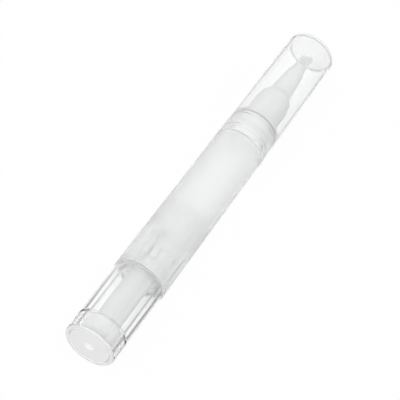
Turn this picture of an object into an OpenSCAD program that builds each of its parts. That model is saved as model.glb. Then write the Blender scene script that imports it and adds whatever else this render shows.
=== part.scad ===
// Twist-up nail oil pen: a clear barrel with an oil chamber, a clear knob that winds a piston forward, and
// a brush under a clear push-on cap. The pen lies along X, with its knob towards -X, on the plane z = 0.
// Outlines are drawn as [radius, station], and a station is a distance from the knob's end face.

/* [Barrel] */
// Bore of the oil chamber
chamber_d = 10.5; // [8.7:0.1:13]
// Wall round the mechanism at the rear rim
barrel_wall = 2.2; // [1.7:0.05:3]
// Loss of radius from the rear rim to the shoulder
barrel_draft = 0.25; // [0:0.01:0.5]
// Length from the rear rim to the shoulder
barrel_len = 54.95; // [44:0.05:70]
// Rounding of the barrel's outer corners
barrel_edge_r = 0.3; // [0.1:0.05:0.5]
// Depth of the wider mechanism bore, from the rear rim
mechanism_depth = 14.2; // [11.5:0.1:18]
// Step from the chamber out to the mechanism bore
bore_step = 0.55; // [0.4:0.01:0.8]
// Gap between that step and the piston when the pen is full
piston_rest_gap = 0.5; // [0.3:0.1:1.5]
// Wall of the neck under the cap
neck_wall = 1.55; // [1.2:0.05:1.8]
// Length of the neck in front of the shoulder
neck_len = 9.8; // [8:0.1:12]
// Height of the two beads that the cap slides over
neck_bead_h = 0.15; // [0.1:0.01:0.25]
// Width of each neck bead
neck_bead_w = 1.1; // [0.8:0.1:1.6]

/* [Knob] */
// Length of the knob behind the barrel
knob_len = 25.1; // [20:0.1:32]
// Step in radius from the barrel down to the knob
knob_step = 0.4; // [0:0.05:0.8]
// Rounding round the knob's rear rim
knob_edge_r = 0.7; // [0.3:0.05:1.2]
// Width of the rear rim's flat between that rounding and the end disc
end_rim_w = 0.6; // [0.3:0.05:0.9]
// Chamfer of the knob's front corner
knob_chamfer = 0.25; // [0.1:0.05:0.5]
// Wall of the knob's outer skirt
skirt_wall = 0.95; // [0.6:0.05:1.2]
// Length of the solid end behind the slot between the skirt and the inner tube
slot_floor = 6.9; // [5:0.1:9]
// Draft of each wall of that slot over its length
slot_draft = 0.1; // [0:0.01:0.15]
// Length of the spigot that turns in the barrel
spigot_len = 4.4; // [3.6:0.1:5.4]
// Wall of the inner tube and its spigot
spigot_wall = 0.55; // [0.4:0.05:0.8]
// Height of the snap bead on the spigot
snap_h = 0.2; // [0.1:0.05:0.3]
// Width of the snap bead at its foot
snap_w = 1.1; // [0.8:0.1:1.5]

/* [Cap] */
// Wall of the cap
cap_wall = 0.72; // [0.5:0.02:1.2]
// Thickness of the cap's closed end
cap_end_wall = 0.9; // [0.6:0.05:1.2]
// Room between the longest bristle and the closed end
cap_headroom = 0.3; // [0.2:0.1:4]
// Loss of radius from the mouth to the closed end
cap_draft = 0.32; // [0:0.01:0.45]
// Rounding round the closed end
cap_edge_r = 0.8; // [0.4:0.05:1.2]
// Height of the rounded lip at the mouth
cap_lip_h = 0.07; // [0.02:0.01:0.2]
// Length of the rounded lip at the mouth
cap_lip_len = 1.9; // [1:0.1:3]
// Play in radius between the mouth and the neck beads
cap_play = 0.155; // [0.13:0.005:0.3]

/* [Drive] */
// Diameter of the drive sleeve
sleeve_d = 7.4; // [6.8:0.1:8.8]
// Thickness of the disc that closes the knob's rear
end_disc_len = 1; // [0.8:0.1:1.6]
// Chamfer round the disc's face
end_disc_chamfer = 0.35; // [0.1:0.05:0.5]
// Diameter of the sunk moulding gate in the disc
gate_d = 2.6; // [1.5:0.1:4]
// Depth of the sunk moulding gate
gate_depth = 0.25; // [0.1:0.05:0.6]
// Length of the sleeve's foot in front of the disc
foot_len = 6; // [5:0.1:7]
// Gap in radius between the foot and the knob's bore
foot_gap = 0.2; // [0.1:0.05:0.4]
// Thickness of the sleeve's closed end from the disc's face to the screw's bore
sleeve_floor = 2.2; // [1.4:0.1:4.5]
// Depth of the two flats that carry the click collar
collar_flat = 0.2; // [0.1:0.02:0.3]
// Crest diameter of the lead screw
screw_d = 5.2; // [4.6:0.1:5.8]
// Depth of the screw's thread
thread_h = 0.6; // [0.4:0.05:0.7]
// Advance of the screw in one turn
thread_lead = 3; // [2:0.25:4]
// Thickness of the screw across its two flats
screw_flat_w = 4.1; // [3.4:0.1:4.9]
// Diameter of the neck behind the screw's head
screw_neck_d = 2.8; // [2.2:0.1:3.3]
// Length of the neck behind the screw's head
screw_neck_len = 1.9; // [1.4:0.1:2.4]
// Diameter of the screw's snap head
screw_head_d = 4.2; // [3.6:0.1:5]
// Length of the screw's snap head
screw_head_len = 2; // [1.5:0.1:2.6]
// Length of the fixed nut
nut_len = 3.5; // [2.8:0.1:4.3]
// Thickness of the nut's flange
nut_flange_len = 0.8; // [0.5:0.1:1.5]
// Radius of the half-round keys that stop the nut and the ratchet ring turning
key_r = 0.4; // [0.25:0.05:0.6]
// Wall of the ratchet ring outside its teeth
ratchet_wall = 0.55; // [0.4:0.05:0.7]
// Height of the ratchet teeth
tooth_h = 0.32; // [0.2:0.02:0.45]
// Number of ratchet teeth, one click each
tooth_count = 16; // [10:1:24]

/* [Piston] */
// Length of the piston over its lips
piston_len = 11; // [9.1:0.1:14]
// Length of the cone in front of the piston
nose_len = 1.2; // [0.5:0.1:2]
// Length of each sealing lip
lip_len = 1.8; // [1.2:0.1:2.4]
// Depth of the waist between the lips
waist_depth = 0.35; // [0.15:0.05:0.5]
// Thickness of the piston's crown behind its nose
crown_len = 2.2; // [1.5:0.1:3]
// Wall of the coupling that holds the screw's head
core_wall = 0.8; // [0.5:0.05:1]
// Distance from the piston's rear to the coupling
core_inset = 0.65; // [0.3:0.05:1.2]
// Width of the cross slits that let the coupling spring over the head
core_slit = 0.6; // [0.4:0.1:1]

/* [Nozzle] */
// Length of the plug's ribbed skirt
plug_len = 4.9; // [3.6:0.1:6]
// Height of the plug's ribs
plug_rib_h = 0.25; // [0.15:0.05:0.35]
// Width of each plug rib
plug_rib_w = 0.6; // [0.4:0.1:0.9]
// Wall of the plug's skirt
plug_wall = 0.6; // [0.4:0.05:0.9]
// Thickness of the plug's web
plug_web = 0.8; // [0.5:0.1:1.2]
// Diameter of the oil hole through the plug
oil_hole_d = 2; // [1:0.1:3]
// Length of the nozzle's spigot inside the neck
nozzle_spigot_len = 3.6; // [3:0.1:4.5]
// Thickness of the nozzle's flange
flange_len = 1; // [0.7:0.1:1.5]
// Diameter of the nozzle behind its step
nozzle_d = 10.2; // [8.5:0.1:11.5]
// Length of the nozzle behind its step
nozzle_len = 8.8; // [7:0.1:11]
// Height of that step
nozzle_step = 0.4; // [0.2:0.05:0.6]
// Length in front of the step
nozzle_step_len = 2.6; // [2:0.1:3.5]
// Length of the steep shoulder
nozzle_shoulder_len = 2.6; // [2:0.1:3.5]
// Diameter of the cone where it leaves the shoulder
cone_d = 6.6; // [6:0.1:7.6]
// Diameter of the cone at its front
cone_front_d = 5.15; // [4.7:0.05:5.8]
// Length of the cone
cone_len = 10; // [8:0.1:12]
// Length of the hollow curve from the cone to the tip
tip_len = 3; // [2:0.1:4]
// Wall of the nozzle at its tip
tip_wall = 0.25; // [0.15:0.05:0.4]
// Step in the bore that the tuft's root sits against
root_step = 0.4; // [0.3:0.05:0.5]
// Diameter of the hollow behind the brush
nozzle_hollow_d = 7; // [6:0.1:7.8]

/* [Brush] */
// Diameter of the tuft in the nozzle
tuft_d = 3.4; // [2.8:0.05:3.7]
// Free length of the tuft on its short side
tuft_free_len = 3.8; // [3:0.1:8]
// Extra length on the long side of the slanted end
tuft_slant = 2.6; // [0:0.1:3.5]
// Length of the two stray bristles past the long side
stray_len = 0.4; // [0:0.1:1.5]
// Length of the tuft inside the nozzle
tuft_hidden_len = 10; // [8:0.1:12]
// Thickness of the tuft's fused root
root_len = 1; // [0.6:0.1:1.5]
// Distance between neighbouring bristles
bristle_pitch = 0.16; // [0.155:0.005:0.2]
// Thickness of one bristle
bristle_d = 0.12; // [0.09:0.01:0.13]
// Outer diameter of the feed tube
feed_d = 1; // [0.8:0.05:1.2]
// Wall of the feed tube
feed_wall = 0.2; // [0.12:0.02:0.28]
// Length of the feed tube behind the tuft's root
feed_tail_len = 6; // [4:0.5:9]
// Length of the brush retainer
retainer_len = 2.2; // [1.5:0.1:3]

/* [Fits] */
// Radial play of parts that turn or slide
running_play = 0.05; // [0.02:0.01:0.08]
// Radial play of parts that are pressed together
seat_play = 0.03; // [0.01:0.01:0.05]
// Gap between end faces that turn or part
end_gap = 0.15; // [0.1:0.01:0.25]
// Play round the screw's thread, neck and head
screw_play = 0.15; // [0.12:0.01:0.2]
// Play between the click arms and the ratchet teeth
click_play = 0.08; // [0.05:0.01:0.12]

/* [Hidden] */
clear_plastic = [0.9, 0.94, 0.96, 0.4];
white_plastic = [0.93, 0.93, 0.92];
pale_plastic = [0.95, 0.96, 0.96, 0.7];

// Shares of the sizes that they follow
neck_bead_shares = [0.38, 0.86];
gate_nub_share = 0.35;
slot_edge_share = 0.35;
lead_in_share = 0.5;
tooth_len_share = 0.7;
tooth_ramp_share = 0.85;
collar_rear_share = 0.06;
collar_len_share = 0.56;
collar_wall_share = 0.4;
arm_gap_share = 0.25;
arm_wall_share = 0.22;
lip_edge_share = 0.3;
lip_back_share = 1.25;
nose_foot_share = 0.7;
nose_top_share = 0.3;
plug_rib_shares = [0.1, 0.42, 0.74];
plug_hub_share = 0.9;
hollow_taper_share = 0.2;
tip_curve_share = 0.35;
feed_reach_share = 0.3;
tuft_flare_share = 0.2;
bristle_tip_share = 0.6;
uneven_share = 0.12;
stray_share = 0.48;

// Angles and counts
key_step = 90;
arm_sweep = 115;
arm_root_sweep = 22;
nib_sweep = 12;
long_side_angle = -20;
uneven_seed = 7;
stray_spread = 4;
arc_steps = 5;
facets = 96;
key_facets = 24;
thread_facets = 12;
slices_per_turn = 12;

// Radii that fit inside one another, from the chamber outwards
chamber_r = chamber_d / 2;
mechanism_r = chamber_r + bore_step;
barrel_r = mechanism_r + barrel_wall;
barrel_front_r = barrel_r - barrel_draft;
neck_r = chamber_r + neck_wall;
bead_r = neck_r + neck_bead_h;
cap_bore_r = bead_r + cap_play;
cap_r = cap_bore_r + cap_wall;
knob_r = barrel_r - knob_step;
end_disc_r = knob_r - knob_edge_r - end_rim_w;
skirt_bore_r = knob_r - skirt_wall;
spigot_r = mechanism_r - running_play;
slot_edge_r = (skirt_bore_r - spigot_r - 2 * slot_draft) * slot_edge_share;
snap_r = spigot_r + snap_h;
knob_bore_r = spigot_r - spigot_wall;
foot_r = knob_bore_r - foot_gap;
sleeve_r = sleeve_d / 2;
pressed_r = mechanism_r - seat_play;
valley_r = pressed_r - ratchet_wall;
crest_r = valley_r - tooth_h;
fin_reach = mechanism_r - key_r / 2;
screw_r = screw_d / 2;
screw_hole_r = screw_r + screw_play;
head_r = screw_head_d / 2;
screw_neck_r = screw_neck_d / 2;
lip_r = chamber_r - running_play;
waist_r = lip_r - waist_depth;
core_r = screw_hole_r + core_wall;
core_hole_r = core_r + seat_play;
plug_r = chamber_r - seat_play;
skirt_r = chamber_r - plug_rib_h;
nozzle_r = nozzle_d / 2;
hollow_r = nozzle_hollow_d / 2;
tuft_r = tuft_d / 2;
tuft_bore_r = tuft_r + running_play;
root_bore_r = tuft_bore_r + root_step;
feed_r = feed_d / 2;
feed_hole_r = feed_r + seat_play;
first_ring_r = feed_hole_r + bristle_d;
ring_count = floor((tuft_r - bristle_d / 2 - first_ring_r) / bristle_pitch) + 1;

// Stations along the axis
barrel_rear = knob_len + end_gap;
step_at = barrel_rear + mechanism_depth;
shoulder_at = barrel_rear + barrel_len;
neck_front = shoulder_at + neck_len;
foot_front = end_disc_len + foot_len;
spigot_front = knob_len + spigot_len;
snap_at = knob_len + spigot_len / 2;
nut_rear = step_at - nut_len;
ratchet_rear = spigot_front + end_gap;
ratchet_len = nut_rear - ratchet_rear;
collar_rear = ratchet_rear + ratchet_len * collar_rear_share;
sleeve_front = nut_rear - end_gap;
piston_rear = step_at + piston_rest_gap;
piston_front = piston_rear + piston_len;
crown_rear = piston_front - crown_len;
head_front = crown_rear - core_wall;
head_rear = head_front - screw_head_len;
thread_front = head_rear - screw_neck_len;
screw_rear = sleeve_floor + screw_play;
nozzle_rear = neck_front - nozzle_spigot_len;
plug_rear = nozzle_rear - plug_len;
body_at = neck_front + flange_len;
step_front = body_at + nozzle_len;
shoulder_rear = step_front + nozzle_step_len;
cone_at = shoulder_rear + nozzle_shoulder_len;
cone_front = cone_at + cone_len;
tip_at = cone_front + tip_len;
root_front = tip_at - tuft_hidden_len;
root_rear = root_front - root_len;
retainer_rear = root_rear - retainer_len;
tuft_end = tip_at + tuft_free_len + tuft_slant + stray_len;
cap_mouth = shoulder_at + end_gap;
cap_floor = tuft_end + cap_headroom;
cap_end = cap_floor + cap_end_wall;

// Overrun of every cut past the face that it opens
cut = 0.4;

// Places what is drawn about the Z axis on the pen's own axis
module along_pen() translate([-cap_end / 2, 0, barrel_r]) rotate([0, 90, 0]) children();

module turned(outline) rotate_extrude($fn = facets) polygon(outline);

// Round corner of radius r about [at_r, at_s], from angle a to angle b
function corner(at_r, at_s, r, a, b) =
    [for (i = [0:arc_steps]) let (t = a + (b - a) * i / arc_steps) [at_r + r * cos(t), at_s + r * sin(t)]];

// Trapezoid bead of height h on radius r: its foot is w wide and its top half of that
function bead(r, at_s, h, w) =
    [[r, at_s - w / 2], [r + h, at_s - w / 4], [r + h, at_s + w / 4], [r, at_s + w / 2]];

// Half-round keys along the mechanism bore, between two stations
module keys(r, from, to)
    for (a = [0:key_step:360 - key_step])
        rotate(a) translate([mechanism_r, 0, from]) cylinder(r = r, h = to - from, $fn = key_facets);

// Cylinder with two flats, between two stations
module flatted(r, across, from, to) translate([0, 0, from]) intersection() {
    cylinder(r = r, h = to - from, $fn = facets);
    translate([-across / 2, -r - cut, -cut]) cube([across, 2 * (r + cut), to - from + 2 * cut]);
}

// Right-hand thread form between two stations: a circle off the axis that turns as it rises
module thread_form(grow, from, to)
    translate([0, 0, from]) rotate(360 * (from - screw_rear) / thread_lead)
        linear_extrude(height = to - from, twist = -360 * (to - from) / thread_lead,
                       slices = ceil((to - from) / thread_lead * slices_per_turn))
            translate([thread_h / 2, 0]) circle(r = screw_r - thread_h / 2 + grow, $fn = thread_facets);

// Band of a circle from r_in to r_out, between angles a and b less than 120 degrees apart
module band(r_in, r_out, a, b) intersection() {
    difference() {
        circle(r = r_out, $fn = facets);
        circle(r = r_in, $fn = facets);
    }
    polygon([[0, 0], for (t = [a, (a + b) / 2, b]) 2 * r_out * [cos(t), sin(t)]]);
}

// Clear tube with the oil chamber, the wider mechanism bore behind it and the neck in front
module barrel() color(clear_plastic) along_pen() difference() {
    turned(concat(
        corner(barrel_r - barrel_edge_r, barrel_rear + barrel_edge_r, barrel_edge_r, -90, 0),
        corner(barrel_front_r - barrel_edge_r, shoulder_at - barrel_edge_r, barrel_edge_r, 0, 90),
        [[neck_r, shoulder_at]],
        bead(neck_r, shoulder_at + neck_len * neck_bead_shares[0], neck_bead_h, neck_bead_w),
        bead(neck_r, shoulder_at + neck_len * neck_bead_shares[1], neck_bead_h, neck_bead_w),
        [[neck_r, neck_front], [chamber_r, neck_front], [chamber_r, step_at], [mechanism_r, step_at]],
        [[mechanism_r, snap_at + snap_w / 2 + end_gap],
         [snap_r + running_play, snap_at + snap_w / 4 + end_gap],
         [snap_r + running_play, snap_at - snap_w / 4 - end_gap],
         [mechanism_r, snap_at - snap_w / 2 - end_gap]],
        [[mechanism_r, barrel_rear]]));
    keys(key_r + seat_play, barrel_rear - cut, step_at);
}

// Clear double-walled knob: a thick rear end with the seat of the end disc, an outer skirt, and an inner tube
// that goes on as the spigot and snaps into the barrel
module knob() color(clear_plastic) along_pen() turned(concat(
    [[end_disc_r + seat_play, end_disc_len], [end_disc_r + seat_play, 0]],
    corner(knob_r - knob_edge_r, knob_edge_r, knob_edge_r, -90, 0),
    [[knob_r, knob_len - knob_chamfer], [knob_r - knob_chamfer, knob_len], [skirt_bore_r, knob_len]],
    corner(skirt_bore_r - slot_draft - slot_edge_r, slot_floor + slot_edge_r, slot_edge_r, 0, -90),
    corner(spigot_r + slot_draft + slot_edge_r, slot_floor + slot_edge_r, slot_edge_r, -90, -180),
    [[spigot_r, knob_len]],
    bead(spigot_r, snap_at, snap_h, snap_w),
    [[spigot_r, spigot_front - spigot_wall * lead_in_share],
     [spigot_r - spigot_wall * lead_in_share, spigot_front],
     [knob_bore_r, spigot_front], [knob_bore_r, end_disc_len]]));

function cap_taper(at_s) = cap_draft * (at_s - cap_mouth) / (cap_end - cap_mouth);

// Clear thin-walled cap: a rounded lip at the mouth and a closed end
module cap() color(clear_plastic) along_pen() turned(concat(
    [[cap_bore_r, cap_mouth]],
    [for (i = [0:arc_steps]) let (s = cap_mouth + cap_lip_len * i / arc_steps)
        [cap_r - cap_taper(s) + cap_lip_h * sin(180 * i / arc_steps), s]],
    corner(cap_r - cap_taper(cap_end) - cap_edge_r, cap_end - cap_edge_r, cap_edge_r, 0, 90),
    [[0, cap_end], [0, cap_floor]],
    corner(cap_bore_r - cap_taper(cap_floor) - cap_edge_r / 2, cap_floor - cap_edge_r / 2,
           cap_edge_r / 2, 90, 0)));

// White core that turns with the knob: a disc with its moulding gate that closes the knob, a wide foot with
// crush ribs, a tube with a two-flat bore, and flats for the click collar
module drive_sleeve() color(white_plastic) along_pen() difference() {
    nub_r = gate_d / 2 * gate_nub_share;
    union() {
        turned([[0, gate_depth * gate_nub_share], [nub_r, gate_depth * gate_nub_share], [nub_r, gate_depth],
                [gate_d / 2, gate_depth], [gate_d / 2, 0], [end_disc_r - end_disc_chamfer, 0],
                [end_disc_r, end_disc_chamfer], [end_disc_r, end_disc_len], [foot_r, end_disc_len],
                [foot_r, foot_front - foot_gap], [foot_r - foot_gap, foot_front], [sleeve_r, foot_front],
                [sleeve_r, sleeve_front], [0, sleeve_front]]);
        for (a = [key_step / 2:key_step:360]) rotate(a) translate([foot_r, 0, end_disc_len])
            cylinder(r = foot_gap - seat_play, h = foot_len - foot_gap, $fn = key_facets);
    }
    flatted(screw_hole_r, screw_flat_w + 2 * screw_play, sleeve_floor, sleeve_front + cut);
    for (a = [0, 180]) rotate(a) translate([sleeve_r - collar_flat, -sleeve_r - cut, collar_rear])
        cube([collar_flat + cut, 2 * (sleeve_r + cut), sleeve_front - collar_rear + cut]);
}

// Collar keyed on the sleeve: two sprung arms whose nibs ride inside the ratchet teeth
module click_collar() color(white_plastic) along_pen() {
    bore_r = sleeve_r + seat_play;
    nib_r = crest_r - click_play;
    room = nib_r - bore_r;
    collar_r = bore_r + room * collar_wall_share;
    arm_in = collar_r + room * arm_gap_share;
    arm_out = arm_in + room * arm_wall_share;
    translate([0, 0, collar_rear]) linear_extrude(height = ratchet_len * collar_len_share) difference() {
        union() {
            circle(r = collar_r, $fn = facets);
            for (a = [0, 180]) rotate(a) {
                band(bore_r, arm_out, 0, arm_root_sweep);
                band(arm_in, arm_out, 0, arm_sweep);
                band(arm_in, nib_r, arm_sweep - nib_sweep, arm_sweep);
            }
        }
        intersection() {
            circle(r = bore_r, $fn = facets);
            square([2 * (sleeve_r - collar_flat + seat_play), 2 * (bore_r + cut)], center = true);
        }
    }
}

// Saw-tooth ring keyed in the barrel in front of the knob's spigot
module ratchet_ring() color(clear_plastic) along_pen() difference() {
    union() {
        translate([0, 0, ratchet_rear]) cylinder(r = pressed_r, h = ratchet_len, $fn = facets);
        keys(key_r, ratchet_rear, nut_rear);
    }
    translate([0, 0, ratchet_rear - cut]) linear_extrude(height = ratchet_len * tooth_len_share + cut)
        polygon([for (i = [0:tooth_count - 1]) each
            let (a = 360 * i / tooth_count, b = a + 360 * tooth_ramp_share / tooth_count)
            [valley_r * [cos(a), sin(a)], crest_r * [cos(b), sin(b)]]]);
    translate([0, 0, ratchet_rear + ratchet_len * tooth_len_share])
        cylinder(r = valley_r, h = ratchet_len, $fn = facets);
}

// Nut on four fins that are keyed in the barrel, with a flange against the step of the bore
module drive_nut() color(white_plastic) along_pen() difference() {
    union() {
        translate([0, 0, nut_rear]) cylinder(r = sleeve_r, h = nut_len, $fn = facets);
        translate([0, 0, step_at - nut_flange_len]) cylinder(r = pressed_r, h = nut_flange_len, $fn = facets);
        for (a = [0, key_step]) rotate(a) translate([-fin_reach, -key_r, nut_rear])
            cube([2 * fin_reach, 2 * key_r, nut_len]);
        keys(key_r, nut_rear, step_at);
    }
    thread_form(screw_play, nut_rear - cut, step_at + cut);
}

// Threaded rod with two flats, which the sleeve turns and the nut drives, and a snap head for the piston
module lead_screw() color(white_plastic) along_pen() {
    intersection() {
        thread_form(0, screw_rear, thread_front);
        flatted(screw_r, screw_flat_w, screw_rear - cut, thread_front + cut);
    }
    turned([[0, thread_front - cut], [screw_neck_r, thread_front - cut],
            [screw_neck_r, head_rear], [head_r, head_rear],
            [head_r, head_front - screw_head_len / 2], [screw_neck_r, head_front], [0, head_front]]);
}

// Coupling pressed into the piston: slit fingers close behind the screw's head
module piston_core() color(white_plastic) along_pen() difference() {
    turned([[screw_hole_r, piston_rear + core_inset], [core_r, piston_rear + core_inset],
            [core_r, crown_rear], [0, crown_rear], [0, head_front + screw_play],
            [head_r + screw_play, head_front + screw_play], [head_r + screw_play, head_rear - screw_play],
            [screw_neck_r + screw_play, head_rear - screw_play],
            [screw_neck_r + screw_play, thread_front + screw_play],
            [screw_hole_r, thread_front + screw_play]]);
    for (a = [0, 90]) rotate(a)
        translate([-core_slit / 2, -core_r - cut, piston_rear + core_inset - cut])
            cube([core_slit, 2 * (core_r + cut), head_rear - piston_rear - core_inset + cut]);
}

// Piston with a sealing lip at each end and a blunt cone that fills the plug's mouth
module piston_cup() color(white_plastic) along_pen() turned(
    [[core_hole_r, piston_rear], [lip_r - waist_depth, piston_rear],
     [lip_r, piston_rear + lip_len * lip_edge_share], [lip_r, piston_rear + lip_len],
     [waist_r, piston_rear + lip_len * lip_back_share], [waist_r, piston_front - lip_len * lip_back_share],
     [lip_r, piston_front - lip_len], [lip_r, piston_front - lip_len * lip_edge_share],
     [lip_r - waist_depth, piston_front], [lip_r * nose_foot_share, piston_front],
     [lip_r * nose_top_share, piston_front + nose_len], [0, piston_front + nose_len],
     [0, crown_rear], [core_hole_r, crown_rear]]);

// Ribbed plug in the mouth of the chamber, with a hub that fits into the nozzle
module nozzle_plug() color(pale_plastic) along_pen() turned(concat(
    [[skirt_r - plug_wall, plug_rear], [skirt_r, plug_rear]],
    [for (share = plug_rib_shares) each
        bead(skirt_r, plug_rear + plug_len * share, plug_rib_h - seat_play, plug_rib_w)],
    [[skirt_r, nozzle_rear], [hollow_r - seat_play, nozzle_rear],
     [hollow_r - seat_play, nozzle_rear + nozzle_spigot_len * plug_hub_share],
     [oil_hole_d / 2, nozzle_rear + nozzle_spigot_len * plug_hub_share],
     [oil_hole_d / 2, nozzle_rear - plug_web], [skirt_r - plug_wall, nozzle_rear - plug_web]]));

// Stepped white nozzle: a spigot and flange on the neck, and a hollow cone that carries the tuft
module nozzle() color(white_plastic) along_pen() {
    tip_r = tuft_bore_r + tip_wall;
    cone_front_r = cone_front_d / 2;
    turned(concat(
        [[hollow_r, nozzle_rear], [plug_r, nozzle_rear], [plug_r, neck_front], [neck_r, neck_front],
         [neck_r, body_at], [nozzle_r, body_at], [nozzle_r, step_front],
         [nozzle_r - nozzle_step, step_front], [nozzle_r - nozzle_step, shoulder_rear],
         [cone_d / 2, cone_at]],
        [for (i = [0:arc_steps]) let (t = i / arc_steps)
            [cone_front_r + (tip_r - cone_front_r) * (1 - pow(1 - t, 1 / tip_curve_share)),
             cone_front + tip_len * t]],
        [[tuft_bore_r, tip_at], [tuft_bore_r, root_front], [root_bore_r, root_front],
         [root_bore_r, retainer_rear - tip_len * hollow_taper_share],
         [hollow_r, step_front]]));
}

// Ring pressed in behind the tuft's root
module brush_retainer() color(white_plastic) along_pen() turned(
    [[feed_hole_r, retainer_rear], [root_bore_r - root_step, retainer_rear],
     [root_bore_r - seat_play, retainer_rear + root_step], [root_bore_r - seat_play, root_rear],
     [feed_hole_r, root_rear]]);

// Fine tube that leads the oil through the retainer and the root into the tuft
module feed_tube() color(pale_plastic) along_pen() turned(
    [[feed_r - feed_wall, root_rear - feed_tail_len], [feed_r, root_rear - feed_tail_len],
     [feed_r, tip_at + tuft_free_len * feed_reach_share],
     [feed_r - feed_wall, tip_at + tuft_free_len * feed_reach_share]]);

// One three-sided bristle at radius r and angle a: it starts in the root and ends at station end_s
module bristle(r, a, end_s) {
    half = bristle_d / 2;
    flare = 1 + tuft_flare_share * (end_s - tip_at) / (tuft_end - tip_at);
    stations = [root_front - root_len / 2, tip_at, end_s];
    radii = [r, r, r * flare];
    halves = [half, half, half * bristle_tip_share];
    rotate(a) polyhedron(
        points = [for (k = [0:2]) for (i = [0:2]) let (t = 360 * i / 3)
            [radii[k] + halves[k] * cos(t), halves[k] * sin(t), stations[k]]],
        faces = concat([[0, 1, 2], [8, 7, 6]],
            [for (k = [0, 3]) for (i = [0:2]) each let (j = (i + 1) % 3)
                [[k + i, k + i + 3, k + j + 3], [k + i, k + j + 3, k + j]]]));
}

// Nylon tuft: rings of bristles round the feed tube, fused into a root and cut at a slant
module brush_bristles() color(white_plastic) along_pen() {
    turned([[feed_hole_r, root_rear], [root_bore_r - seat_play, root_rear],
            [root_bore_r - seat_play, root_front], [feed_hole_r, root_front]]);
    for (k = [0:ring_count - 1]) {
        r = first_ring_r + k * bristle_pitch;
        count = floor(360 * r / bristle_pitch * PI / 180);
        uneven = rands(0, 1, count, uneven_seed + k);
        for (i = [0:count - 1]) {
            a = 360 * i / count;
            slant = (1 + cos(a - long_side_angle) * r / tuft_r) / 2 * tuft_slant;
            cut_at = tip_at + tuft_free_len + slant - uneven[i] * uneven_share * tuft_slant;
            from_pair = abs(i - round(count * stray_share));
            bristle(r, a, k == ring_count - 1 && from_pair == stray_spread ? tuft_end : cut_at);
        }
    }
}

barrel();
knob();
cap();
drive_sleeve();
click_collar();
ratchet_ring();
drive_nut();
lead_screw();
piston_core();
piston_cup();
nozzle_plug();
nozzle();
brush_retainer();
feed_tube();
brush_bristles();
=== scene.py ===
import math

import bmesh
import bpy
import numpy as np
from mathutils import Matrix, Vector


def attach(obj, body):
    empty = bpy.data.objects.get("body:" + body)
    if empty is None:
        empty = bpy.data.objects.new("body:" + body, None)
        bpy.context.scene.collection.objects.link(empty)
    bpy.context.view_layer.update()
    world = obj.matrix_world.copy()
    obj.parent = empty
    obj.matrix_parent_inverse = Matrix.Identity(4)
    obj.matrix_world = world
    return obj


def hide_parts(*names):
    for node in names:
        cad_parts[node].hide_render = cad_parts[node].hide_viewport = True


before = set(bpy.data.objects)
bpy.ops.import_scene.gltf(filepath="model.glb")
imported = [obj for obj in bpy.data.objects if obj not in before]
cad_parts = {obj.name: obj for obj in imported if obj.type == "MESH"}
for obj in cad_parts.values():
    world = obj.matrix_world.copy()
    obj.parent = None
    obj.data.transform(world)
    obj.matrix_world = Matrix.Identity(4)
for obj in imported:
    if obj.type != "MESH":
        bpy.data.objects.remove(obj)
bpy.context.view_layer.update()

# Camera
# It looks along the pen from behind the knob and down on it, at the photograph's angle, from about half a
# metre away. Lengths below are in millimetres, and a station is a distance from the knob's end face.
PEN_LENGTH = 126.0
AXIS_HEIGHT = 8.0
CAMERA_DISTANCE = 478.5
AIMED_STATION = 58.16
SHIFT_RIGHT = 0.095
SHIFT_DOWN = 0.031
SENSOR_WIDTH = 36.0
FOCAL_SHARE = 4.25


def at(station, across=0.0, up=0.0):
    """The point at a station, across and above the pen's axis in mm, as metres in the shared frame."""
    return Vector((station - PEN_LENGTH / 2, across, AXIS_HEIGHT + up)) / 1000


view_right = Vector((0.5, -0.8660, 0.0)).normalized()
view_back = Vector((-0.5590, -0.3227, 0.7638)).normalized()
view_up = view_back.cross(view_right).normalized()
offset = view_back * CAMERA_DISTANCE + view_right * SHIFT_RIGHT - view_up * SHIFT_DOWN
camera_data = bpy.data.cameras.new("camera")
camera_data.sensor_width = SENSOR_WIDTH
camera_data.lens = SENSOR_WIDTH * FOCAL_SHARE
camera = bpy.data.objects.new("camera", camera_data)
bpy.context.scene.collection.objects.link(camera)
turned_view = Matrix((view_right, view_up, view_back)).transposed().to_4x4()
camera.matrix_world = Matrix.Translation(at(AIMED_STATION) + offset / 1000) @ turned_view
bpy.context.scene.camera = camera
bpy.context.scene.view_settings.view_transform = "Standard"

# Barrel
# The clear body of the pen: one thick-walled moulding with the oil chamber in front, the wider bore for the
# mechanism behind it and the beaded neck. It is moulded round a polished core pin, so both walls are glossy,
# and the resin is a little milky.
BARREL_REAR = 25.25
BORE_STEP = 39.45
SHOULDER = 80.2
NECK_START = 80.4
NECK_END = 90.0
MECHANISM_BORE = 5.8
GROOVE_RADIUS = 6.0
CHAMBER_BORE = 5.25
NECK_RADIUS = 6.8
BEAD_RADIUS = 6.95
KEYWAYS = 4
KEYWAY_RADIUS = 0.43
SIDES = 192
ON_AXIS = 1e-6
CLEAR_IOR = 1.57


def linear(hex_colour):
    """Linear RGBA of an sRGB colour written as six hex digits."""
    shares = [int(hex_colour[i:i + 2], 16) / 255 for i in (0, 2, 4)]
    return [s / 12.92 if s <= 0.04045 else ((s + 0.055) / 1.055) ** 2.4 for s in shares] + [1.0]


def add(tree, kind, inputs=None, **settings):
    """Adds a node with its settings, and links or sets its inputs."""
    node = tree.nodes.new(kind)
    for key, value in settings.items():
        setattr(node, key, value)
    for socket, value in (inputs or {}).items():
        if isinstance(value, bpy.types.NodeSocket):
            tree.links.new(value, node.inputs[socket])
        else:
            node.inputs[socket].default_value = value
    return node


def new_material(name):
    """An empty material and its node tree."""
    material = bpy.data.materials.new(name)
    material.use_nodes = True
    material.node_tree.nodes.clear()
    return material, material.node_tree


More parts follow.
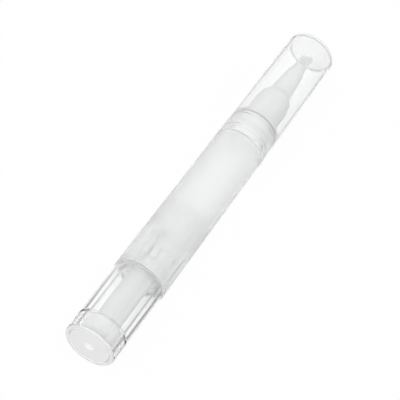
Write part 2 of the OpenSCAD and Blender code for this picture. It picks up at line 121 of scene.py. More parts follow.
def moulded(name, low, high, mark_mm, height_mm, detail=2.0):
    """A material between two tints, with the marks that the mould leaves in its skin, mark_mm wide and
    height_mm high. Gives the material, its node tree, and the colour and bump for its shader."""
    material, tree = new_material(name)
    place = add(tree, "ShaderNodeTexCoord")
    marks = add(tree, "ShaderNodeTexNoise",
                {"Vector": place.outputs["Object"], "Scale": 1000 / mark_mm, "Detail": detail})
    tint = add(tree, "ShaderNodeMix",
               {"Factor": marks.outputs["Fac"], 6: linear(low), 7: linear(high)}, data_type="RGBA")
    bump = add(tree, "ShaderNodeBump", {"Height": marks.outputs["Fac"], "Distance": height_mm / 1000})
    return material, tree, {"Base Color": tint.outputs[2], "Normal": bump.outputs["Normal"]}


def lets_light_in(tree, surface, passed):
    """Ends a clear material: lamps shine straight through it, dimmed to the passed tint."""
    rays = add(tree, "ShaderNodeLightPath")
    straight = add(tree, "ShaderNodeBsdfTransparent", {"Color": linear(passed)})
    ending = add(tree, "ShaderNodeMixShader",
                 {0: rays.outputs["Is Shadow Ray"], 1: surface.outputs["BSDF"], 2: straight.outputs["BSDF"]})
    add(tree, "ShaderNodeOutputMaterial", {"Surface": ending.outputs[0]})


def rounded(outline, radius, steps=4):
    """The closed outline with its corners rounded, and a narrow flat band beside each rounding that keeps the
    shading true. A third number on a point is that corner's own radius."""
    nearly_straight = math.radians(85)
    most_of_a_side = 0.48
    widest_band = 0.05
    points = []
    count = len(outline)
    for i, here in enumerate(outline):
        p = np.array(here[:2], float)
        before = np.array(outline[i - 1][:2], float) - p
        after = np.array(outline[(i + 1) % count][:2], float) - p
        len_before, len_after = np.linalg.norm(before), np.linalg.norm(after)
        if p[0] < ON_AXIS or len_before < ON_AXIS or len_after < ON_AXIS:
            points.append(p)
            continue
        before, after = before / len_before, after / len_after
        half = math.acos(max(-1.0, min(1.0, float(before @ after)))) / 2
        if half > nearly_straight:
            points.append(p)
            continue
        wanted = here[2] if len(here) > 2 else radius
        back_off = min(wanted / math.tan(half), most_of_a_side * len_before, most_of_a_side * len_after)
        true_radius = back_off * math.tan(half)
        middle = p + (before + after) / np.linalg.norm(before + after) * true_radius / math.sin(half)
        start, end = p + before * back_off - middle, p + after * back_off - middle
        sweep = math.acos(max(-1.0, min(1.0, float(start @ end) / true_radius ** 2)))
        band = min(widest_band, 0.01 * min(len_before, len_after) + 0.02)
        if len_before - back_off > 4 * band:
            points.append(p + before * (back_off + band))
        for k in range(steps + 1):
            t = k / steps
            points.append(middle + (math.sin((1 - t) * sweep) * start + math.sin(t * sweep) * end)
                          / math.sin(sweep))
        if len_after - back_off > 4 * band:
            points.append(p + after * (back_off + band))
    return points


def finished(name, verts, faces, material, body):
    """A smooth-shaded mesh piece that rides on a body."""
    mesh = bpy.data.meshes.new(name)
    mesh.from_pydata([tuple(v) for v in verts], [], faces)
    work = bmesh.new()
    work.from_mesh(mesh)
    bmesh.ops.recalc_face_normals(work, faces=work.faces)
    work.to_mesh(mesh)
    work.free()
    mesh.shade_smooth()
    mesh.materials.append(material)
    piece = bpy.data.objects.new(name, mesh)
    bpy.context.scene.collection.objects.link(piece)
    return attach(piece, body)


def turned(name, outline, material, body, corner=0.08, sides=SIDES, shape=None, angles=None):
    """A piece turned about the pen's axis from a closed outline of [radius, station] points in mm.
    shape(radius, station, angle) gives another radius where the piece isn't round."""
    points = rounded(outline, corner)
    if angles is None:
        angles = np.arange(sides) * 2 * math.pi / sides
    verts, faces, rings = [], [], []
    for radius, station in points:
        if radius < ON_AXIS:
            rings.append([len(verts)])
            verts.append(at(station))
            continue
        rings.append(list(range(len(verts), len(verts) + len(angles))))
        for a in angles:
            r = shape(radius, station, a) if shape else radius
            verts.append(at(station, r * math.sin(a), -r * math.cos(a)))
    for i, ring in enumerate(rings):
        following = rings[(i + 1) % len(rings)]
        if len(ring) == 1 and len(following) == 1:
            continue
        for k in range(len(angles)):
            n = (k + 1) % len(angles)
            if len(ring) == 1:
                faces.append((ring[0], following[n], following[k]))
            elif len(following) == 1:
                faces.append((ring[k], ring[n], following[0]))
            else:
                faces.append((ring[k], ring[n], following[n], following[k]))
    return finished(name, verts, faces, material, body)


def keyed_angles():
    """Angles round the pen, closer together at the keyways."""
    coarse = [i * 2 * math.pi / SIDES for i in range(SIDES)]
    reach = math.asin(KEYWAY_RADIUS / MECHANISM_BORE)
    fine = [q * math.pi / 2 + reach * math.sin(k * math.pi / 16)
            for q in range(KEYWAYS) for k in range(-8, 9)]
    far = [a for a in coarse if min(abs((a - q * math.pi / 2 + math.pi) % (2 * math.pi) - math.pi)
                                    for q in range(KEYWAYS)) > reach * 1.15]
    return sorted(a % (2 * math.pi) for a in fine + far)


def keyway(radius, station, angle):
    """The mechanism bore's radius, deeper along its half-round keyways."""
    in_bore = MECHANISM_BORE - 0.01 <= radius <= GROOVE_RADIUS + 0.05 and station < BORE_STEP + 0.15
    off = (angle + math.pi / 4) % (math.pi / 2) - math.pi / 4
    beside = MECHANISM_BORE * math.sin(off)
    if not in_bore or abs(beside) >= KEYWAY_RADIUS:
        return radius
    return max(radius, MECHANISM_BORE * math.cos(off) + math.sqrt(KEYWAY_RADIUS ** 2 - beside ** 2))


# Clear copolyester, injection moulded: polished walls, and a faint milkiness that greys the thick wall
barrel_clear, tree, skin = moulded("clear_copolyester_moulded", "F6F8F8", "FBFBFB",
                                   mark_mm=7.0, height_mm=0.0012)
surface = add(tree, "ShaderNodeBsdfPrincipled",
              {**skin, "Roughness": 0.1, "IOR": CLEAR_IOR, "Transmission Weight": 0.58})
lets_light_in(tree, surface, "FCFCFC")

barrel = turned("barrel_tube", [
    # Rear rim, tapered side and shoulder
    (8.0, BARREL_REAR, 0.3), (7.75, SHOULDER, 0.3), (NECK_RADIUS, SHOULDER, 0.1),
    # The neck's two beads, which hold the cap
    (NECK_RADIUS, 83.37, 0.2), (BEAD_RADIUS, 83.65, 0.12),
    (BEAD_RADIUS, 84.2, 0.12), (NECK_RADIUS, 84.47, 0.2),
    (NECK_RADIUS, 88.08, 0.2), (BEAD_RADIUS, 88.35, 0.12),
    (BEAD_RADIUS, 88.9, 0.12), (NECK_RADIUS, 89.18, 0.2),
    # The mouth and the chamber, back to the step that the nut stands against
    (NECK_RADIUS, NECK_END, 0.2), (CHAMBER_BORE, NECK_END, 0.15), (CHAMBER_BORE, NECK_START),
    (CHAMBER_BORE, BORE_STEP, 0.1), (MECHANISM_BORE, BORE_STEP, 0.02),
    # The mechanism's bore, with the groove that the knob's bead snaps into
    (MECHANISM_BORE, 28.0, 0.05), (GROOVE_RADIUS, 27.725, 0.05), (GROOVE_RADIUS, 26.875, 0.05),
    (MECHANISM_BORE, 26.6, 0.05), (MECHANISM_BORE, BARREL_REAR, 0.1)],
    barrel_clear, "barrel", shape=keyway, angles=keyed_angles())


def spark_eroded(name, low, high, roughness, clearness, passed):
    """Clear resin with the fine matt of a spark-eroded mould, whose grain is a quarter of a millimetre."""
    material, tree, skin = moulded(name, low, high, mark_mm=0.25, height_mm=0.006, detail=3.0)
    surface = add(tree, "ShaderNodeBsdfPrincipled",
                  {**skin, "Roughness": roughness, "IOR": CLEAR_IOR, "Transmission Weight": clearness})
    lets_light_in(tree, surface, passed)
    return material


def matt_where(piece, finish, is_matt):
    """Gives a second finish to the faces for whose middle is_matt(radius, station) holds, in mm."""
    piece.data.materials.append(finish)
    for face in piece.data.polygons:
        middle = (face.center - at(0)) * 1000
        if is_matt(math.hypot(middle.y, middle.z), middle.x):
            face.material_index = len(piece.data.materials) - 1


REAR_FACE_FRONT = 25.4
WALL_MIDDLE = 6.4
SHOULDER_EDGE = 7.7
# Light matt in the mechanism's bore, which blurs the parts that stand in it
bore_matt = spark_eroded("clear_copolyester_lightly_eroded", "FAFBFB", "FDFDFD", 0.06, 0.95, "FDFDFD")
matt_where(barrel, bore_matt,
           lambda radius, station: radius < WALL_MIDDLE and REAR_FACE_FRONT < station < BORE_STEP + 0.05)
# Full matt on the faces that meet the knob and the cap, so they show as soft grey rings
end_matt = spark_eroded("clear_copolyester_spark_eroded", "F8F9F9", "FCFCFC", 0.4, 0.4, "FAFAFA")
matt_where(barrel, end_matt, lambda radius, station: station < REAR_FACE_FRONT
           or abs(station - SHOULDER) < 0.1 and radius < SHOULDER_EDGE)
# The thin neck has no milkiness to speak of, so the plug's ribs show in it
neck_clear = spark_eroded("clear_copolyester_thin_wall", "F8FAFA", "FDFDFD", 0.06, 0.85, "FCFCFC")
matt_where(barrel, neck_clear, lambda radius, station: station > NECK_START)
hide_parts("barrel")

# Turning knob
# A double-walled clear moulding: a thick rear end round the seat of the white disc, an outer skirt, and an
# inner tube that goes on into the barrel as a spigot and snaps in over a bead. Polished styrene resin.
KNOB_RADIUS = 7.6
KNOB_BORE = 5.2
SPIGOT_RADIUS = 5.75
SPIGOT_BEAD = 5.95
DISC_SEAT = 1.0
FOOT_FRONT = 7.3
SLOT_FLOOR = 6.9
SKIRT_END = 25.1
SKIRT_INSIDE = 6.6
RIM_DEPTH = 0.3

# Clear styrene acrylonitrile, injection moulded: clear as glass, with flow marks that hardly show
styrene_clear, tree, skin = moulded("clear_styrene_acrylonitrile_moulded", "FBFCFC", "FEFEFE",
                                    mark_mm=9.0, height_mm=0.0008)
surface = add(tree, "ShaderNodeBsdfPrincipled",
              {**skin, "Roughness": 0.01, "IOR": CLEAR_IOR, "Transmission Weight": 0.985})
lets_light_in(tree, surface, "FFFFFF")

knob = turned("knob_shell", [
    # Seat of the disc, rounded rim and outer skirt
    (6.33, DISC_SEAT, 0.05), (6.33, 0.0, 0.08), (KNOB_RADIUS, 0.0, 0.7), (KNOB_RADIUS, 24.85, 0.1),
    (7.35, SKIRT_END, 0.05), (6.65, SKIRT_END, 0.1),
    # Slot between the skirt and the inner tube
    (6.55, SLOT_FLOOR, 0.1), (5.85, SLOT_FLOOR, 0.1), (SPIGOT_RADIUS, SKIRT_END, 0.1),
    # Spigot in the barrel, with the bead that snaps in
    (SPIGOT_RADIUS, 26.75, 0.1), (SPIGOT_BEAD, 27.025, 0.1), (SPIGOT_BEAD, 27.575, 0.1),
    (SPIGOT_RADIUS, 27.85, 0.1), (SPIGOT_RADIUS, 29.22, 0.05), (5.47, 29.5, 0.05),
    # Bore, back to the sleeve's foot
    (KNOB_BORE, 29.5, 0.05), (KNOB_BORE, FOOT_FRONT), (KNOB_BORE, DISC_SEAT, 0.05)],
    styrene_clear, "knob", sides=256)

# Full matt on the rim and on the end face that meets the barrel, so both show as pale rings
styrene_matt = spark_eroded("clear_styrene_acrylonitrile_spark_eroded", "F6F7F7", "FAFBFB",
                            0.4, 0.3, "F8F8F8")
matt_where(knob, styrene_matt, lambda radius, station: station < RIM_DEPTH
           or station > SKIRT_END - 0.2 and radius > SKIRT_INSIDE)
# Light matt in the bore round the sleeve's foot, which blurs its crush ribs
styrene_light = spark_eroded("clear_styrene_acrylonitrile_lightly_eroded", "FAFBFB", "FDFDFD",
                             0.15, 0.85, "FAFAFA")
matt_where(knob, styrene_light,
           lambda radius, station: radius < KNOB_BORE + 0.1 and DISC_SEAT < station < FOOT_FRONT - 0.1)
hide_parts("knob")

# Drive sleeve
# The white core in the knob: a disc with the sunk moulding gate closes the knob's end, a foot with four crush
# ribs grips its bore, and a slim tube with two flats turns the screw. Milky polypropylene, polished mould.
DISC_RADIUS = 6.3
GATE_RADIUS = 1.3
GATE_DEPTH = 0.25
FOOT_RADIUS = 5.0
FOOT_END = 7.0
CRUSH_RIB_RADIUS = 0.17
SLEEVE_RADIUS = 3.7
SLEEVE_BORE = 2.7
SLEEVE_END = 35.8
FLAT_DEPTH = 0.2
COLLAR_REAR = 30.03


def milky(name, low, high, roughness, mark_mm=3.0, height_mm=0.004, scatter=0.25, depth_mm=1.2, ior=1.49):
    """A milky resin between two tints, whose body scatters a share of the light as deep as depth_mm."""
    material, tree, skin = moulded(name, low, high, mark_mm, height_mm)
    surface = add(tree, "ShaderNodeBsdfPrincipled",
                  {**skin, "Roughness": roughness, "IOR": ior, "Subsurface Weight": scatter,
                   "Subsurface Radius": (depth_mm / 1000,) * 3, "Subsurface Scale": 1.0})
    add(tree, "ShaderNodeOutputMaterial", {"Surface": surface.outputs["BSDF"]})
    return material


def sleeve_shape(radius, station, angle):
    """Crush ribs on the foot, and two flats in front of the collar's seat."""
    on_foot = FOOT_RADIUS - 0.4 < radius < FOOT_RADIUS + 0.1 and DISC_SEAT + 0.1 < station < FOOT_END - 0.2
    on_flats = SLEEVE_RADIUS - 0.1 < radius < SLEEVE_RADIUS + 0.05 and station > COLLAR_REAR
    if on_foot:
        off = (angle % (math.pi / 2) - math.pi / 4) * FOOT_RADIUS
        return radius + (math.sqrt(CRUSH_RIB_RADIUS ** 2 - off ** 2) if abs(off) < CRUSH_RIB_RADIUS else 0.0)
    if on_flats:
        return min(radius, (SLEEVE_RADIUS - FLAT_DEPTH) / max(abs(math.cos(angle)), ON_AXIS))
    return radius


# Milky polypropylene: soft highlights over a body that light enters a little way
milky_white = milky("milky_polypropylene_moulded", "DFE0E0", "E6E6E5", 0.38)

sleeve = turned("drive_sleeve_body", [
    # The cut gate in its sunk ring, and the disc
    (0, 0.09), (0.42, 0.09, 0.1), (0.5, GATE_DEPTH, 0.05), (1.2, GATE_DEPTH, 0.1), (GATE_RADIUS, 0.0, 0.06),
    (5.95, 0.0, 0.12), (DISC_RADIUS, 0.35, 0.12), (DISC_RADIUS, DISC_SEAT, 0.05),
    # The foot
    (FOOT_RADIUS, DISC_SEAT, 0.05), (FOOT_RADIUS, 6.8, 0.1), (4.8, FOOT_END, 0.1),
    # The tube, with two rings close together where its flats begin, and its bore
    (SLEEVE_RADIUS, FOOT_END, 0.25), (SLEEVE_RADIUS, 29.97, 0.01), (SLEEVE_RADIUS, COLLAR_REAR, 0.01),
    (SLEEVE_RADIUS, SLEEVE_END, 0.1), (SLEEVE_BORE, SLEEVE_END, 0.1), (SLEEVE_BORE, 2.2, 0.1), (0, 2.2)],
    milky_white, "knob", sides=256, shape=sleeve_shape)
# The gate ring keeps a glossy skin, which catches the lamps, and is tinted lighter than the disc: a painted
# highlight
gate_gloss_and_painted_highlight = milky("milky_polypropylene_gate_painted_highlight", "F1F2F2", "F7F7F6", 0.12,
                   mark_mm=0.8, height_mm=0.01, scatter=0.0)
matt_where(sleeve, gate_gloss_and_painted_highlight,
           lambda radius, station: station < GATE_DEPTH + 0.05 and radius < GATE_RADIUS + 0.1)
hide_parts("drive_sleeve")

# Click collar
# A small ring with two sprung arms, pushed onto the sleeve's flats, whose nibs ride in the ratchet ring.
# Acetal, white all through, with the satin skin of a spark-eroded mould.
acetal, tree, skin = moulded("white_acetal_moulded", "ECECEA", "F1F1F0",
                             mark_mm=0.25, height_mm=0.002, detail=4.0)
surface = add(tree, "ShaderNodeBsdfPrincipled", {**skin, "Roughness": 0.42, "IOR": 1.48})
add(tree, "ShaderNodeOutputMaterial", {"Surface": surface.outputs["BSDF"]})


def dress(node, material):
    """Gives a CAD node that keeps its own shape another material."""
    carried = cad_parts[node]
    carried.data.materials.clear()
    carried.data.materials.append(material)


dress("click_collar", acetal)

# Ratchet ring
# The clear ring in front of the knob's spigot, keyed in the barrel, with sixteen saw teeth inside that stop
# the knob from turning back. The same styrene resin as the knob.
dress("ratchet_ring", styrene_clear)

# Nut
# The white nut against the step of the bore, on four keyed fins, which the screw winds through. It is moulded
# in the sleeve's milky polypropylene.
dress("drive_nut", milky_white)

# Lead screw
# A white rod with a coarse thread cut away by two flats: the sleeve turns it, the nut drives it forward, and
# its snap head pushes the piston. The collar's acetal, which runs smoothly in the nut.
dress("lead_screw", acetal)

# Piston
# A milky polyethylene cup with a lip at each end that wipes the chamber, pressed over a stiffer core that
# holds the screw's head. Its waxy skin wets the wall, so it shows up to the barrel's outside.
WETTED = CHAMBER_BORE + 0.02
CUP_WAIST = 4.85
CORE_BORE = 3.58

# Milky polyethylene: a waxy skin with hardly a highlight, over a body that light enters deeper
waxy_white = milky("milky_polyethylene_moulded", "E8E9E9", "EEEEEE", 0.5,
                   mark_mm=2.0, scatter=0.3, depth_mm=1.5, ior=1.51)
cup = turned("piston_cup_body", [
    # Rear edge, the wiping side between the two lips, and the front edge
    (CORE_BORE, 39.95, 0.1), (CUP_WAIST, 39.95, 0.1), (WETTED, 40.49, 0.1), (WETTED, 50.41, 0.1),
    (CUP_WAIST, 50.95, 0.15), (3.64, 50.95, 0.2),
    # The blunt nose, and the bore for the core
    (1.56, 52.15, 0.3), (0, 52.15), (0, 48.75), (CORE_BORE, 48.75, 0.1)],
    waxy_white, "piston")
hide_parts("piston_cup")
dress("piston_core", milky_white)

# Nozzle plug
# A pale ribbed plug that closes the chamber and lets the oil through the hole in its hub into the nozzle.
# Natural polyethylene, slightly clear.
PLUG_RADIUS = 5.0
PLUG_RIB_RADIUS = 5.22
PLUG_RIBS = (81.99, 83.56, 85.13)
PLUG_FRONT = 86.4
HUB_RADIUS = 3.47
HUB_HOLE = 1.0

# Natural polyethylene, injection moulded: pale, with soft highlights, and it passes a little light
pale_plastic, tree, skin = moulded("natural_polyethylene_moulded", "FBFCFC", "FEFEFE",
                                   mark_mm=1.5, height_mm=0.003)
surface = add(tree, "ShaderNodeBsdfPrincipled",
              {**skin, "Roughness": 0.25, "IOR": 1.51, "Transmission Weight": 0.15})
lets_light_in(tree, surface, "F0F0F0")

plug_outline = [(4.4, 81.5, 0.1), (PLUG_RADIUS, 81.5, 0.1)]
for rib in PLUG_RIBS:
    plug_outline += [(PLUG_RADIUS, rib - 0.3, 0.05), (PLUG_RIB_RADIUS, rib - 0.15, 0.06),
                     (PLUG_RIB_RADIUS, rib + 0.15, 0.06), (PLUG_RADIUS, rib + 0.3, 0.05)]
plug_outline += [(PLUG_RADIUS, PLUG_FRONT, 0.1), (HUB_RADIUS, PLUG_FRONT, 0.1), (HUB_RADIUS, 89.64, 0.15),
                 (HUB_HOLE, 89.64, 0.1), (HUB_HOLE, 85.6, 0.1), (4.4, 85.6, 0.1)]
plug = turned("nozzle_plug_body", plug_outline, pale_plastic, "barrel", corner=0.05)
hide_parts("nozzle_plug")

# Nozzle
# The white stepped cone that carries the brush: its spigot is pushed into the neck up to the flange.
# Milky polypropylene with a satin skin.
NOZZLE_SPIGOT = 5.22
FLANGE_FRONT = 91.0
HUB_END = 99.8
SHANK_RADIUS = 2.575
SHANK_END = 115.0
MOUTH_RADIUS = 2.0
MOUTH_LENGTH = 3.0
MOUTH_STATION = 118.0
ROUNDNESS = 0.35
TUFT_SEAT = 2.15

nozzle_outline = [
    # Spigot, flange and hub
    (3.5, PLUG_FRONT, 0.1), (NOZZLE_SPIGOT, PLUG_FRONT, 0.15), (NOZZLE_SPIGOT, NECK_END, 0.05),
    (NECK_RADIUS, NECK_END, 0.1), (NECK_RADIUS, FLANGE_FRONT, 0.25), (5.1, FLANGE_FRONT, 0.1),
    (5.1, HUB_END, 0.12), (4.7, HUB_END, 0.08),
    # Steep cone, then the long slim shank
    (4.7, 102.4, 0.3), (3.3, 105.0, 0.4)]
for i in range(9):
    t = i / 8
    bend = 1 - (1 - t) ** (1 / ROUNDNESS)
    nozzle_outline.append((SHANK_RADIUS + (MOUTH_RADIUS - SHANK_RADIUS) * bend, SHANK_END + MOUTH_LENGTH * t))
nozzle_outline += [
    # Mouth, seat of the tuft and the passage back to the spigot
    (1.75, MOUTH_STATION, 0.06), (1.75, 108.0, 0.05), (TUFT_SEAT, 108.0, 0.05), (TUFT_SEAT, 104.2, 0.2),
    (3.5, HUB_END, 0.3)]
# Satin milky polypropylene: a little whiter than the sleeve's, with broad soft highlights
nozzle_white = milky("milky_polypropylene_satin", "E8E9E9", "EEEEED", 0.38)
nozzle = turned("nozzle_body", nozzle_outline, nozzle_white, "barrel")
# Its spigot is polished, and is painted whiter than the rest of the nozzle, as painted light under the neck's
# wall
spigot_painted_whiter = milky("milky_polypropylene_painted_whiter", "ECEDED", "F1F1F0", 0.3)
matt_where(nozzle, spigot_painted_whiter,
           lambda radius, station: station < NECK_END and radius > NOZZLE_SPIGOT - 0.22)
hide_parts("nozzle")

# Brush retainer and feed tube
# A ring pressed in behind the tuft's root, and the fine tube that leads the oil through it into the bristles.
# The ring is of the milky polypropylene, and the tube of the plug's pale polyethylene.
dress("brush_retainer", milky_white)
dress("feed_tube", pale_plastic)

# Brush tuft
# Straight nylon bristles fused into a round root, spread a little and cut at a slant, with two longer strays.
# So that they show, they are drawn 0.1 mm thick, and the strays up to 0.16 mm. The real ones are 0.07 mm.
TUFT_RADIUS = 1.7
FIRST_RING = 0.66
RING_PITCH = 0.115
BRISTLE_PITCH = 0.125
HALF_THICKNESS = 0.05
STRAND_SIDES = 5
LAST_STATION = 124.8
FREE_LENGTH = 3.8
UNEVEN_CUT = 0.3
SLANT = 2.6
LONG_SIDE = math.radians(-20)
STRAY_SIDES = (math.radians(149), math.radians(196))
FLARE = 0.2
LEAN = 0.015
LEAN_AT_TIP = 4
TAPERED_TIP = [0.045, 0.032, 0.012]
STRAY_TIP = [0.06, 0.08, 0.08, 0.05]

# Drawn nylon: silky, and a little lighter or darker in streaks 0.11 mm wide and 0.9 mm long
nylon, tree = new_material("white_nylon_bristle_drawn")
place_node = add(tree, "ShaderNodeTexCoord")
along = add(tree, "ShaderNodeMapping", {"Vector": place_node.outputs["Object"], "Scale": (0.12, 1.0, 1.0)})
streak = add(tree, "ShaderNodeTexNoise", {"Vector": along.outputs["Vector"], "Scale": 9000.0, "Detail": 1.0})
tint = add(tree, "ShaderNodeMix",
           {"Factor": streak.outputs["Fac"], 6: linear("FBFBFA"), 7: linear("FEFEFD")}, data_type="RGBA")
surface = add(tree, "ShaderNodeBsdfPrincipled",
              {"Base Color": tint.outputs[2], "Roughness": 0.35, "IOR": 1.53})
lets_light_in(tree, surface, "FEFEFE")

strands = []
ring, ring_radius = 0, FIRST_RING
while ring_radius < TUFT_RADIUS - HALF_THICKNESS:
    count = int(2 * math.pi * ring_radius / BRISTLE_PITCH)
    for i in range(count):
        strands.append((ring_radius, (i + 0.5 * (ring % 2)) * 2 * math.pi / count))
    ring, ring_radius = ring + 1, ring_radius + RING_PITCH
outer = max(radius for radius, angle in strands)
strays = [min((s for s in strands if s[0] == outer), key=lambda s: abs(s[1] - wanted))
          for wanted in STRAY_SIDES]

rng = np.random.default_rng(11)
verts, faces = [], []
for radius, angle in strands:
    long_side = (1 + math.cos(angle - LONG_SIDE) * radius / TUFT_RADIUS) / 2
    end = MOUTH_STATION + FREE_LENGTH + long_side * SLANT - rng.uniform(0.0, UNEVEN_CUT)
    lean_across, lean_up = rng.normal(0.0, LEAN, 2)
    halves = [HALF_THICKNESS] * 4 + TAPERED_TIP
    if (radius, angle) in strays:
        end = LAST_STATION
        halves = [HALF_THICKNESS] * 3 + STRAY_TIP
    stations = [107.5, 112.0, MOUTH_STATION, MOUTH_STATION + 2.0, end - 0.5, end - 0.12, end]
    first = len(verts)
    for station, half in zip(stations, halves):
        t = max(0.0, (station - MOUTH_STATION) / (LAST_STATION - MOUTH_STATION))
        r = radius * (1 + FLARE * t)
        y = r * math.sin(angle) + lean_across * t * LEAN_AT_TIP
        z = -r * math.cos(angle) + lean_up * t * LEAN_AT_TIP
        for k in range(STRAND_SIDES):
            b = k * 2 * math.pi / STRAND_SIDES
            verts.append(at(station, y + half * math.cos(b), z + half * math.sin(b)))
    for j in range(len(stations) - 1):
        for k in range(STRAND_SIDES):
            n = (k + 1) % STRAND_SIDES
            a0, b0 = first + j * STRAND_SIDES, first + (j + 1) * STRAND_SIDES
            faces.append((a0 + k, a0 + n, b0 + n, b0 + k))
    last = first + (len(stations) - 1) * STRAND_SIDES
    faces.append(tuple(first + k for k in range(STRAND_SIDES)))
    faces.append(tuple(last + k for k in range(STRAND_SIDES)))
tuft = finished("brush_tuft", verts, faces, nylon, "barrel")
root = turned("brush_root", [
    (0.53, 107.0, 0.05), (2.12, 107.0, 0.1), (2.12, 107.97, 0.1), (0.53, 107.97, 0.1)],
    nylon, "barrel")
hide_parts("brush_bristles")

# Cap
# A thin-walled clear cover with a rounded lip, which slides over the neck's two beads. The same styrene resin
# as the knob, in a polished mould.
CAP_REAR = 80.35
CAP_LENGTH = 45.65
CAP_REAR_RADIUS = 7.825
CAP_DRAFT = 0.32
LIP_LENGTH = 1.9
LIP_SWELL = 0.07
END_START = 124.7

# Styrene acrylonitrile in a thin wall: clear, and slightly greyer than the knob's
cover_clear, tree, skin = moulded("clear_styrene_acrylonitrile_thin_wall", "F8F9F9", "FBFBFB",
                                  mark_mm=9.0, height_mm=0.0008)
surface = add(tree, "ShaderNodeBsdfPrincipled",
              {**skin, "Roughness": 0.01, "IOR": CLEAR_IOR, "Transmission Weight": 0.93})
lets_light_in(tree, surface, "FEFEFE")

cap_outline = [(7.105, CAP_REAR, 0.15)]
for i in range(9):
    t = i / 8
    s = CAP_REAR + LIP_LENGTH * t
    taper = CAP_DRAFT * (s - CAP_REAR) / CAP_LENGTH
    cap_outline.append((CAP_REAR_RADIUS - taper + LIP_SWELL * math.sin(math.pi * t), s, 0.05))
cap_outline += [(7.5141, END_START), (7.505, PEN_LENGTH, 0.8), (0, PEN_LENGTH),
                (0, 125.1), (6.791, 125.1, 0.4)]
cap = turned("cap_shell", cap_outline, cover_clear, "cap", sides=256)
# Its end is lightly frosted, which softens the view through it
cover_light = spark_eroded("clear_styrene_acrylonitrile_frosted", "FAFBFB", "FDFDFD", 0.2, 0.84, "FCFCFC")
matt_where(cap, cover_light, lambda radius, station: station > END_START - 0.1)
# Its lip and end rim are fully matt, so they show as soft grey lines
cover_rim = spark_eroded("clear_styrene_acrylonitrile_ground", "FAFBFB", "FEFEFE", 0.5, 0.2, "FCFCFC")
matt_where(cap, cover_rim, lambda radius, station: station < CAP_REAR + 0.1
           or station > END_START and radius > 6.65)
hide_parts("cap")

# Floor, light and surroundings
# A white table under three soft lamps, paper white to the camera with the pen's shadow left in faintly.
# Rays bent by the clear walls see it with a painted shadow: a narrow grey strip in front of the pen and one
# behind it, which draw the walls' dark lines and fade towards the cap.
WHITE = (1.0, 1.0, 1.0, 1.0)
PAPER_SHARE = 0.97
SCATTERED_LEVEL = 0.8
AMBIENT_LEVEL = 0.85
LAMP_WATTS = 0.3
FLOOR_DROP = 0.00005
FIBRE_MM = 0.4
# The painted shadow strips are at full depth at the knob, and from 38 to 18 mm behind the pen's middle they
# fade to 0.4 of it, towards the cap
PAINTED_SHADOW_FADE_START = -0.038
PAINTED_SHADOW_FADE_END = -0.018
PAINTED_SHADOW_FADED_SHARE = 0.4
# Soft edges of the painted shadow strips: where each starts and ends across the pen in metres, and the
# level on both sides
FRONT_PAINTED_SHADOW_EDGES = ((-0.0150, -0.0115, 1.0, 0.0), (-0.0092, -0.0078, 0.35, 1.0))
REAR_PAINTED_SHADOW_EDGES = ((0.022, 0.031, 1.0, 0.25), (0.045, 0.060, 0.0, 1.0))


def kinds_of_ray(tree):
    """Whether a ray is the camera's own, was bent or mirrored, or was scattered by a matt surface."""
    rays = add(tree, "ShaderNodeLightPath")
    bent = add(tree, "ShaderNodeMath",
               {0: rays.outputs["Is Glossy Ray"], 1: rays.outputs["Is Transmission Ray"]},
               operation="MAXIMUM")
    scattered = add(tree, "ShaderNodeMath",
                    {0: rays.outputs["Diffuse Depth"], 1: 0.5}, operation="GREATER_THAN")
    return rays.outputs["Is Camera Ray"], bent.outputs[0], scattered.outputs[0]


floor_mesh = bpy.data.meshes.new("floor")
floor_mesh.from_pydata([(-2, -2, 0), (2, -2, 0), (2, 2, 0), (-2, 2, 0)], [], [(0, 1, 2, 3)])
floor = bpy.data.objects.new("floor", floor_mesh)
floor.location.z = -FLOOR_DROP
bpy.context.scene.collection.objects.link(floor)

# Matt white paper, whose fibres show as a grain in the shadow, and which carries the painted shadow strips
sheet, tree = new_material("matt_white_paper_with_painted_shadow")
fibre_place = add(tree, "ShaderNodeTexCoord")
fibre = add(tree, "ShaderNodeTexNoise",
            {"Vector": fibre_place.outputs["Object"], "Scale": 1000 / FIBRE_MM, "Detail": 3.0})
fibre_bump = add(tree, "ShaderNodeBump", {"Height": fibre.outputs["Fac"], "Distance": 0.00002})
lit = add(tree, "ShaderNodeBsdfDiffuse", {"Color": linear("F2F2F2"), "Normal": fibre_bump.outputs["Normal"]})
white = add(tree, "ShaderNodeEmission", {"Color": WHITE, "Strength": 1.0})
where = add(tree, "ShaderNodeSeparateXYZ", {"Vector": fibre_place.outputs["Object"]})
# The painted shadow: two grey strips across the sheet, each between two soft edges
painted_shadow_strips = []
for edges in (FRONT_PAINTED_SHADOW_EDGES, REAR_PAINTED_SHADOW_EDGES):
    soft_edges = [add(tree, "ShaderNodeMapRange",
                      {"Value": where.outputs["Y"], "From Min": start, "From Max": end, "To Min": first,
                       "To Max": last}, interpolation_type="SMOOTHSTEP")
                  for start, end, first, last in edges]
    painted_shadow_strips.append(add(tree, "ShaderNodeMath",
                      {0: soft_edges[0].outputs[0], 1: soft_edges[1].outputs[0]}, operation="MAXIMUM"))
painted_shadow = add(tree, "ShaderNodeMath", {0: painted_shadow_strips[0].outputs[0], 1: painted_shadow_strips[1].outputs[0]}, operation="MULTIPLY")
strength = add(tree, "ShaderNodeMapRange",
               {"Value": where.outputs["X"], "From Min": PAINTED_SHADOW_FADE_START, "From Max": PAINTED_SHADOW_FADE_END, "To Min": 1.0,
                "To Max": PAINTED_SHADOW_FADED_SHARE}, interpolation_type="SMOOTHSTEP")
shade = add(tree, "ShaderNodeMath", {0: painted_shadow.outputs[0], 1: 1.0}, operation="SUBTRACT")
level = add(tree, "ShaderNodeMath",
            {0: shade.outputs[0], 1: strength.outputs[0], 2: 1.0}, operation="MULTIPLY_ADD")
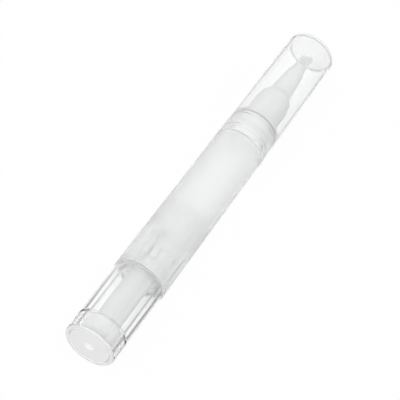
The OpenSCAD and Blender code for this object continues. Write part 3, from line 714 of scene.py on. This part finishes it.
# Light given off at the painted shadow's level, which rays bent by the clear walls see
painted_shadow_seen = add(tree, "ShaderNodeEmission", {"Color": WHITE, "Strength": level.outputs[0]})
by_camera, was_bent, was_scattered = kinds_of_ray(tree)
camera_share = add(tree, "ShaderNodeMath", {0: by_camera, 1: PAPER_SHARE}, operation="MULTIPLY")
bent_share = add(tree, "ShaderNodeMath", {0: was_bent, 1: PAPER_SHARE}, operation="MULTIPLY")
plain = add(tree, "ShaderNodeMixShader", {0: camera_share.outputs[0], 1: lit.outputs[0], 2: white.outputs[0]})
even = add(tree, "ShaderNodeEmission", {"Color": WHITE, "Strength": SCATTERED_LEVEL})
through_pen = add(tree, "ShaderNodeMixShader", {0: was_scattered, 1: painted_shadow_seen.outputs[0], 2: even.outputs[0]})
seen = add(tree, "ShaderNodeMixShader",
           {0: bent_share.outputs[0], 1: plain.outputs[0], 2: through_pen.outputs[0]})
add(tree, "ShaderNodeOutputMaterial", {"Surface": seen.outputs[0]})
floor_mesh.materials.append(sheet)

world = bpy.data.worlds.new("studio")
bpy.context.scene.world = world
world.use_nodes = True
tree = world.node_tree
tree.nodes.clear()
by_camera, was_bent, was_scattered = kinds_of_ray(tree)
sky_place = add(tree, "ShaderNodeTexCoord")
height = add(tree, "ShaderNodeSeparateXYZ", {"Vector": sky_place.outputs["Generated"]})
dome = add(tree, "ShaderNodeMapRange",
           {"Value": height.outputs["Z"], "From Min": 0.0, "From Max": 0.6, "To Min": 1.0, "To Max": 1.5})
lighting = add(tree, "ShaderNodeBackground", {"Color": WHITE, "Strength": AMBIENT_LEVEL})
brighter_above = add(tree, "ShaderNodeBackground", {"Color": WHITE, "Strength": dome.outputs[0]})
even = add(tree, "ShaderNodeBackground", {"Color": WHITE, "Strength": SCATTERED_LEVEL})
paper = add(tree, "ShaderNodeBackground", {"Color": WHITE, "Strength": 1.0})
through_pen = add(tree, "ShaderNodeMixShader",
                  {0: was_scattered, 1: brighter_above.outputs[0], 2: even.outputs[0]})
around = add(tree, "ShaderNodeMixShader", {0: was_bent, 1: lighting.outputs[0], 2: through_pen.outputs[0]})
seen = add(tree, "ShaderNodeMixShader", {0: by_camera, 1: around.outputs[0], 2: paper.outputs[0]})
add(tree, "ShaderNodeOutputWorld", {"Surface": seen.outputs[0]})

# Soft lamps that point at the pen: each one's place, width and depth in metres
for name, place, width, depth in (
        ("overhead_softbox", (-0.1, -0.12, 0.5), 0.2, 0.2),
        ("side_softbox", (0.0, -0.5, 0.16), 0.6, 0.3),
        ("rear_softbox", (-0.4, 0.1, 0.3), 0.15, 0.15)):
    softbox = bpy.data.lights.new(name, "AREA")
    softbox.shape = "RECTANGLE"
    softbox.size = width
    softbox.size_y = depth
    softbox.energy = LAMP_WATTS
    lamp = bpy.data.objects.new(name, softbox)
    lamp.location = place
    lamp.rotation_euler = (Vector((0, 0, 0)) - lamp.location).to_track_quat("-Z", "Y").to_euler()
    bpy.context.scene.collection.objects.link(lamp)
